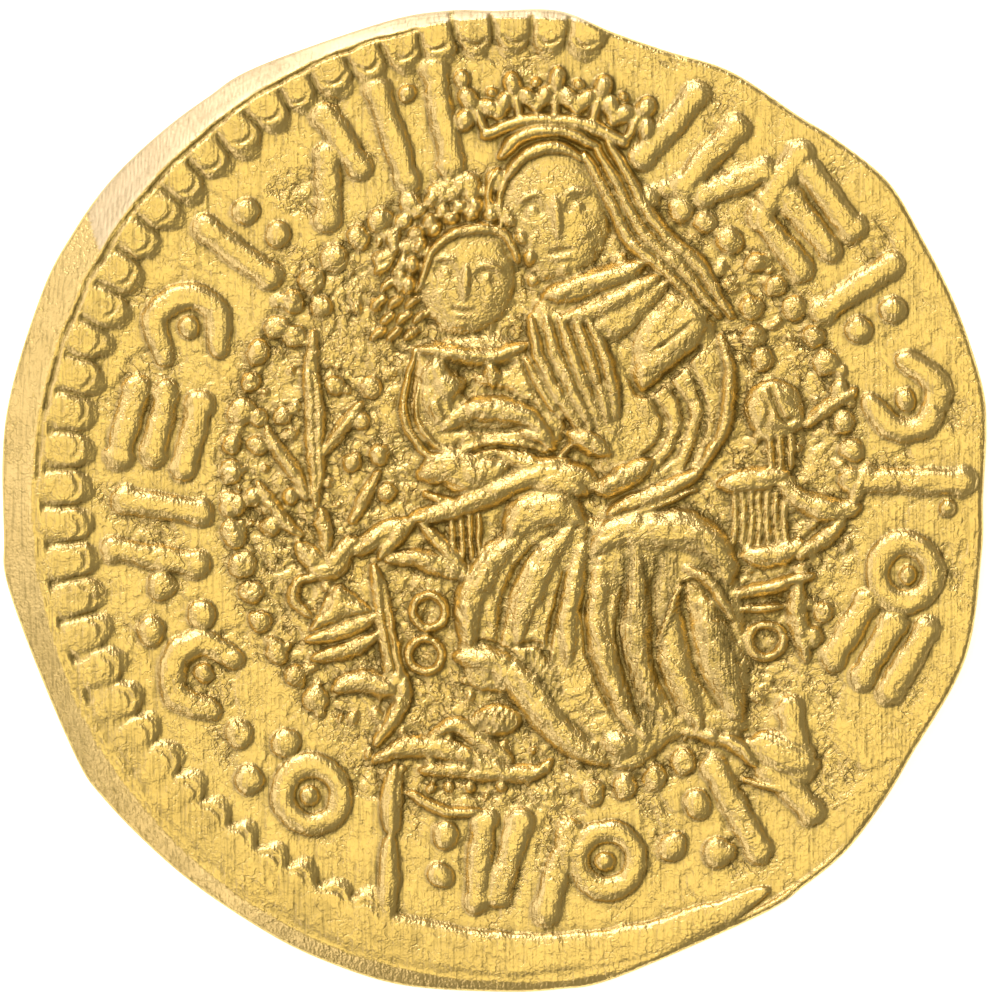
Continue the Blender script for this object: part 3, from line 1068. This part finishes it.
class Skin:
    def __init__(self):
        self.points, self.flat, self.smooth, self.count = [], [], [], 0

    def add(self, x, y, z):
        """Takes points, and gives their numbers in the same rows and columns."""
        x, y, z = np.broadcast_arrays(x, y, z)
        self.points.append(np.stack([x.ravel(), y.ravel(), z.ravel()], axis=1))
        self.count += x.size
        return np.arange(self.count - x.size, self.count).reshape(x.shape)

    def sheet(self, rows, down=False):
        """Fours between neighbouring rows and columns, which face up, or down."""
        fours = np.stack([rows[:-1, :-1], rows[:-1, 1:], rows[1:, 1:], rows[1:, :-1]], axis=-1).reshape(-1, 4)
        self.smooth.append(fours[:, ::-1] if down else fours)

    def rings(self, rings):
        """Fours between closed rings, which face up."""
        self.sheet(np.concatenate([rings, rings[:, :1]], axis=1).T)

    def wall(self, upper, lower, flat=False):
        """Fours between two loops, facing away from the axis; with the loops swapped they face it."""
        fours = np.stack([upper, lower, np.roll(lower, -1), np.roll(upper, -1)], axis=1)
        (self.flat if flat else self.smooth).append(fours)

    def border(self, top, x, y, z, out, floor):
        """Closes a border down to a floor, outwards or inwards, and gives the floor's loop."""
        x, y = tucked(x, y, out)
        hem, lower = self.add(x, y, z), self.add(x, y, floor)
        for high, low in ((top, hem), (hem, lower)):
            self.wall(*((high, low) if out > 0 else (low, high)), flat=high is hem)
        return lower

    def halving(self, upper, lower):
        """Threes between a loop and one of half as many points."""
        even, odd, beyond = upper[0::2], upper[1::2], np.roll(upper[0::2], -1)
        after = np.roll(lower, -1)
        for corners in ((even, lower, odd), (odd, lower, after), (odd, after, beyond)):
            self.smooth.append(np.stack(corners, axis=1))

    def lid(self, loop):
        """One face across a loop."""
        self.flat.append(loop[None, :])

    def make(self, name):
        points = np.concatenate(self.points)
        faces = [face for part in self.flat + self.smooth for face in part.tolist()]
        mesh = bpy.data.meshes.new(name)
        mesh.from_pydata((points * MM).tolist(), [], faces)
        flat_count = sum(len(part) for part in self.flat)
        mesh.polygons.foreach_set("use_smooth", np.arange(len(faces)) >= flat_count)
        piece = bpy.data.objects.new(name, mesh)
        bpy.context.scene.collection.objects.link(piece)
        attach(piece, "root")
        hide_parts("coin")
        print(name, "triangles:", sum(len(polygon.vertices) - 2 for polygon in mesh.polygons))
        return piece


def face_points(x, y):
    return x, y, read_map(face_map, x, y)


print("skin tools ready, walls tucked by", TUCK, "mm")

# %% [markdown]
# ## Three closed meshes
# The figures and the band are inlays with a flat underside, and the body has the seat for both.


# %% Figures
def make_figures():
    skin = Skin()
    top = skin.add(*face_points(figure_x, figure_y))
    lower = skin.border(border_of(top), *face_points(border_of(figure_x), border_of(figure_y)), 1, SEAT)
    skin.lid(lower[::-1])
    skin.sheet(top)
    return skin.make("coin_figures")


figures = make_figures()


# %% Band of the legend
def make_band():
    skin = Skin()
    x, y = rings_between(to_figures, to_band, BAND_RINGS, turns)
    top = skin.add(*face_points(x, y))
    inner = skin.border(top[0], *face_points(x[0], y[0]), -1, SEAT)
    outer = skin.border(top[-1], *face_points(x[-1], y[-1]), 1, SEAT)
    skin.wall(outer, inner, flat=True)
    skin.rings(top)
    return skin.make("coin_legend_band")


band = make_band()


# %% Body
EDGE_TURNS = np.radians((30, 60, 90))
EDGE_ROUGH = 0.02


def edge_loops(angle, top):
    """A quarter round from the face to the wall, a wall that is rough from hammering, and another quarter
    round to the underside. Gives each loop's distance and height."""
    radius = edge_radius(angle)
    rough = EDGE_ROUGH * noise(radius * angle, radius * 0, 0.5, 8) - EDGE_ROUGH
    upper = [(math.sin(t), 1 - math.cos(t)) for t in EDGE_TURNS]
    for out, down in upper:
        yield radius - EDGE_ROUND * (1 - out), top - EDGE_ROUND * down
    yield radius + rough, top * 0.5
    for out, down in upper[::-1]:
        yield radius - EDGE_ROUND * (1 - out), np.full_like(radius, EDGE_ROUND * down)


def make_body():
    skin = Skin()
    x, y = rings_between(to_band, to_edge, RIM_RINGS, turns)
    x_back, y_back = round_grid(BACK_COUNT, to_edge)
    top = skin.add(*face_points(x, y))
    seat = skin.border(top[0], *face_points(x[0], y[0]), -1, SEAT - SEAT_GAP)
    skin.lid(seat)
    upper = top[-1]
    for far, height in edge_loops(turns, read_map(face_map, x[-1], y[-1])):
        lower = skin.add(far * np.cos(turns), far * np.sin(turns), height)
        skin.wall(upper, lower)
        upper = lower
    back = skin.add(x_back, y_back, read_map(back_map, -x_back, y_back))
    skin.halving(upper, border_of(back))
    skin.sheet(back, down=True)
    skin.rings(top)
    return skin.make("coin_body")


body = make_body()
COIN_PIECES = (figures, band, body)

# %% [markdown]
# ## What the material needs to know
# Gold keeps its brightness where fingers rub and darkens in the hollows. How deep a place lies below its
# surroundings is worked out on the map, and stored on the meshes for the material to read. So are the bevel,
# the rough metal and the panels that a tool has scraped.

# %% Hollows and bevel as attributes
HOLLOW_DEEP = 0.05
# Tone of steep flanks, the slope at which it begins, and how much more slope it needs
STEEP = dict(tone=0.6, begin=0.6, more=1.2)
BAND_TONE = dict(share=0.28, left_of=0.5, out=0.1)
# Left, right, lower and upper side of the dark panels behind the bars of the throne
PANELS = [(4.95, 6.35, -0.95, 0.15), (-1.05, -0.2, -1.35, -0.35)]
PANEL_TONE = 0.55
HATCHED_TONE = 0.5
slope_y, slope_x = np.gradient(face_map, MAP_STEP)
steep_map = np.hypot(slope_x, slope_y)
hollow_map = (blurred(blurred(face_map, 5), 4) - face_map) / HOLLOW_DEEP
beaded = np.hypot(map_x - BORDER["x"], map_y - BORDER["y"]) > BORDER["inner"] + BAND_TONE["out"]
beaded = blurred((beaded & (map_x < BAND_TONE["left_of"])).astype(float), 8)
beaded *= 0.7 + 0.5 * noise(map_x, map_y, 1.1, 81)
hollow_map += STEEP["tone"] * soft_step((steep_map - STEEP["begin"]) / STEEP["more"])
hollow_map += BAND_TONE["share"] * beaded
for left, right, lower, upper in PANELS:
    panel = (map_x > left) & (map_x < right) & (map_y > lower) & (map_y < upper)
    hollow_map += PANEL_TONE * blurred(panel.astype(float), 5) * (1 - form_map)
hollow_map = np.clip(hollow_map + HATCHED_TONE * struck.scraped, -1, 1)
rough_map = roughness(map_x, map_y) * (1 - 0.6 * form_map)
filed_map = (face_map >= bevel_top(map_x, map_y) - 0.01).astype(float)


def store(piece, name, values):
    attribute = piece.data.attributes.new(name, "FLOAT", "POINT")
    attribute.data.foreach_set("value", values.astype(np.float32))


stored = {"hollow": hollow_map, "filed": filed_map, "rough": rough_map, "scraped": struck.scraped}
for piece in COIN_PIECES:
    places = np.empty(len(piece.data.vertices) * 3)
    piece.data.vertices.foreach_get("co", places)
    x, y, z = places.reshape(-1, 3).T / MM
    facing_up = z > SEAT
    for name, values in stored.items():
        store(piece, name, read_map(values, x, y) * facing_up)
print("hollow share:", round(float((hollow_map > 0.3).mean()), 3))

# %% [markdown]
# ## Shader arithmetic
# A small class lets node maths be written as ordinary expressions.


# %% Helpers for node trees
class Value:
    """A number from a node socket. Arithmetic on it adds Math nodes."""

    def __init__(self, tree, socket):
        self.tree, self.socket = tree, socket

    def _math(self, operation, left, right=0.0):
        return self.tree.node("ShaderNodeMath", {"operation": operation}, {0: left, 1: right})

    def __add__(self, other):
        return self._math("ADD", self, other)

    def __sub__(self, other):
        return self._math("SUBTRACT", self, other)

    def __rsub__(self, other):
        return self._math("SUBTRACT", other, self)

    def __mul__(self, other):
        return self._math("MULTIPLY", self, other)

    def at_least(self, other):
        return self._math("MAXIMUM", self, other)

    def at_most(self, other):
        return self._math("MINIMUM", self, other)

    def held(self):
        """Kept between 0 and 1."""
        return self.at_least(0).at_most(1)

    __radd__ = __add__
    __rmul__ = __mul__


class Tree:
    """A material's nodes."""

    def __init__(self, name):
        self.material = bpy.data.materials.new(name)
        self.material.use_nodes = True
        self.nodes, self.links = self.material.node_tree.nodes, self.material.node_tree.links
        self.nodes.clear()

    def node(self, kind, settings=None, inputs=None, output=0):
        """Adds a node, sets its properties, then its inputs by name or number, and gives one output."""
        made = self.nodes.new(kind)
        for name, value in (settings or {}).items():
            setattr(made, name, value)
        for name, value in (inputs or {}).items():
            if isinstance(value, Value):
                self.links.new(value.socket, made.inputs[name])
            else:
                made.inputs[name].default_value = value
        return Value(self, made.outputs[output]) if made.outputs else made

    def mix(self, share, first, second):
        """Colours mixed by a share."""
        return self.node("ShaderNodeMix", {"data_type": "RGBA"}, {0: share, 6: first, 7: second}, output=2)


print("node helpers ready")

# %% [markdown]
# ## Gold
# High carat gold is a rich yellow metal. What the eye reads as its finish is the fine texture of the struck
# surface: tiny pits, a crackle of thin lines where the metal is rough, fine upright scratches where it is
# smooth, file marks on the pale bevel, and a brown tone in the hollows.


# %% Gold material
DEEP_GOLD, PALE_GOLD = (0.96, 0.69, 0.215, 1), (1.0, 0.76, 0.285, 1)
FILED_GOLD = (1.0, 0.86, 0.6, 1)
BROWN = (0.27, 0.205, 0.062, 1)
BUMP_HIGH = 0.07
# Grains of the finish, with sizes in mm
PITS = dict(size=0.09, detail=1.5, rough=0.8)
SCRATCHES = dict(size=0.055, detail=0.0, stretch=(1, 0.045, 1))
FILE_MARKS = dict(size=0.14, detail=1.0)
# Size of the crackle, thinness of its lines, size of the patches that break them
BROAD_CRACKLE, FINE_CRACKLE = (0.3, 0.04, 0.7), (0.17, 0.05, 0.45)


def gold_material():
    """Pits, scratches, crackle and file marks each give a share of the brown tone and of the bump. How much
    depends on how rough, filed or scraped the place is."""
    tree = Tree("struck gold")
    place = tree.node("ShaderNodeTexCoord", output="Object")
    hollow, filed, rough, scraped = (tree.node("ShaderNodeAttribute", {"attribute_name": name}, output="Fac")
                                     for name in stored)

    def grain(size, detail=3.0, rough=0.55, stretch=(1, 1, 1), at=place):
        """Noise between 0 and 1, whose lumps are about the given size in mm, stretched by the scale."""
        spot = tree.node("ShaderNodeMapping", None, {"Vector": at, "Scale": stretch})
        return tree.node("ShaderNodeTexNoise", None, {
            "Vector": spot, "Scale": 1 / (size * MM), "Detail": detail, "Roughness": rough})

    # The file ran along the edge, so its marks follow the distance from the middle and hardly the angle.
    x = tree.node("ShaderNodeSeparateXYZ", None, {"Vector": place}, output="X")
    y = tree.node("ShaderNodeSeparateXYZ", None, {"Vector": place}, output="Y")
    far = tree.node("ShaderNodeMath", {"operation": "SQRT"}, {0: x * x + y * y})
    angle = tree.node("ShaderNodeMath", {"operation": "ARCTAN2"}, {0: y, 1: 0 - x})
    along_edge = tree.node("ShaderNodeCombineXYZ", None, {
        "X": far + angle * (0.6 * MM), "Y": angle * (0.5 * MM)})

    fine, streaks, files = grain(**PITS), grain(**SCRATCHES), grain(**FILE_MARKS, at=along_edge)

    def crease(size, thin, broken):
        """A thin line wherever a noise crosses its mean: one less the squared distance from it."""
        off = (grain(size, detail=1.5) - 0.5) * (1 / thin)
        line = (1 - off * off).at_least(0)
        return line * ((grain(broken, detail=1.0) - 0.42) * 6).held()

    crackle = crease(*BROAD_CRACKLE) + crease(*FINE_CRACKLE) * 0.8
    worked = (rough * 2.5).at_most(1)
    pits = ((0.47 - fine) * 6).held()
    drawn = (1 - 2.5 * rough - filed).at_least(0) + scraped
    scored = ((0.42 - streaks) * 9).held() * drawn.at_most(1)
    tone = (hollow * 0.88 + pits * (0.1 + 0.35 * rough) + scored * 0.35 + crackle * (0.1 + 0.45 * rough)
            + files * filed * 0.3)
    tone = tone.held()
    bright = tree.mix(grain(2.2), DEEP_GOLD, PALE_GOLD)
    clean = tree.mix(filed * 0.6, bright, FILED_GOLD)
    colour = tree.mix(tone * (0.4 + 0.5 * tone), clean, BROWN)
    shine = 0.24 + 0.14 * grain(0.5) + 0.14 * tone + 0.16 * filed
    heights = ((fine * (0.2 + 0.14 * worked) - crackle * (0.05 + 0.17 * rough)) * (1 - 0.9 * filed)
               + streaks * ((0.14 - 0.35 * rough).at_least(0) + scraped * 0.28) + files * filed * 0.3)
    bump = tree.node("ShaderNodeBump", None, {"Height": heights, "Strength": 1.0, "Distance": BUMP_HIGH * MM})
    shader = tree.node("ShaderNodeBsdfPrincipled", None, {
        "Base Color": colour, "Metallic": 1.0, "Roughness": shine, "Normal": bump})
    tree.node("ShaderNodeOutputMaterial", None, {"Surface": shader})
    return tree.material


gold = gold_material()
for piece in COIN_PIECES:
    piece.data.materials.append(gold)
print("material on the coin:", gold.name)

# %% [markdown]
# ## Floor, light and camera
# The floor is pale. A large warm lamp overhead lights the field. A bright cool one beyond the top of the coin
# lights the upper slopes and leaves the lower ones brown, and two weaker ones at the left fill the bevel.
# The camera looks straight down.

# %% Stage
PHOTO_WIDE, PHOTO_TALL = 995, 1000
COIN_MIDDLE_PIXEL = 495
MM_PER_PIXEL = 21.0 / 985
CAMERA_HIGH = 300.0
SENSOR = 36.0
WARM = (1.0, 0.89, 0.56)
COOL = (1.0, 0.93, 1.08)
# Place in metres, size in metres, glow, colour
LAMPS = {
    "overhead": ((0, 0.03, 0.62), 0.5, 1.12, WARM),
    "top window": ((-0.2, 0.6, 0.5), 0.5, 4.5, COOL),
    "left window": ((-0.62, 0.12, 0.5), 0.62, 1.1, COOL),
    "low left window": ((-0.42, -0.5, 0.5), 0.5, 1.3, COOL),
}
WORLD = {"Color": (0.8, 0.74, 0.6, 1), "Strength": 0.28}


def make_floor():
    """A square sheet that glows a little, so that it stays as pale as paper."""
    side = 1.5
    mesh = bpy.data.meshes.new("floor")
    corners = [(-side, -side, 0), (side, -side, 0), (side, side, 0), (-side, side, 0)]
    mesh.from_pydata(corners, [], [(0, 1, 2, 3)])
    floor = bpy.data.objects.new("floor", mesh)
    bpy.context.scene.collection.objects.link(floor)
    tree = Tree("pale floor")
    shader = tree.node("ShaderNodeBsdfPrincipled", None,
                       {"Base Color": (0.93, 0.93, 0.93, 1), "Roughness": 0.9,
                        "Emission Color": (1, 1, 1, 1), "Emission Strength": 0.75})
    tree.node("ShaderNodeOutputMaterial", None, {"Surface": shader})
    mesh.materials.append(tree.material)
    floor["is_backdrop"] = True


def make_lamp(name, place, size, glow, colour):
    """A round soft lamp that looks at the coin. Its power is its glow times its area times pi."""
    light = bpy.data.lights.new(name, "AREA")
    light.shape, light.size, light.color = "DISK", size, colour
    light.energy = glow * math.pi * math.pi * (size / 2) ** 2
    lamp = bpy.data.objects.new(name, light)
    lamp.location = place
    lamp.rotation_euler = (-Vector(place)).to_track_quat("-Z", "Y").to_euler()
    bpy.context.scene.collection.objects.link(lamp)


def make_camera():
    """The photo's frame is as many millimetres tall as its pixels times the scale, so the lens follows from
    the height of the camera. The coin's middle is 2.5 pixels left of the frame's."""
    data = bpy.data.cameras.new("camera")
    data.sensor_width = SENSOR
    data.lens = SENSOR * (CAMERA_HIGH - FIELD) / (PHOTO_TALL * MM_PER_PIXEL)
    data.clip_start, data.clip_end = 0.01, 10
    camera = bpy.data.objects.new("camera", data)
    shift = (PHOTO_WIDE / 2 - COIN_MIDDLE_PIXEL) * MM_PER_PIXEL - DESIGN_CENTRE[0]
    camera.location = (shift * MM, -DESIGN_CENTRE[1] * MM, CAMERA_HIGH * MM)
    bpy.context.scene.collection.objects.link(camera)
    bpy.context.scene.camera = camera
    return camera


make_floor()
for name, sizes in LAMPS.items():
    make_lamp(name, *sizes)
camera = make_camera()
world = bpy.data.worlds.new("studio")
world.use_nodes = True
for name, value in WORLD.items():
    world.node_tree.nodes["Background"].inputs[name].default_value = value
bpy.context.scene.world = world
bpy.context.scene.view_settings.view_transform = "Standard"
print("lens", round(camera.data.lens, 1), "mm")

# %% Finish
sizes = {"cad": [list(c) for c in CAD_BOX], "visual": [list(c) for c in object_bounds()]}
print("visual box in mm:", [[round(v / MM, 3) for v in corner] for corner in sizes["visual"]])
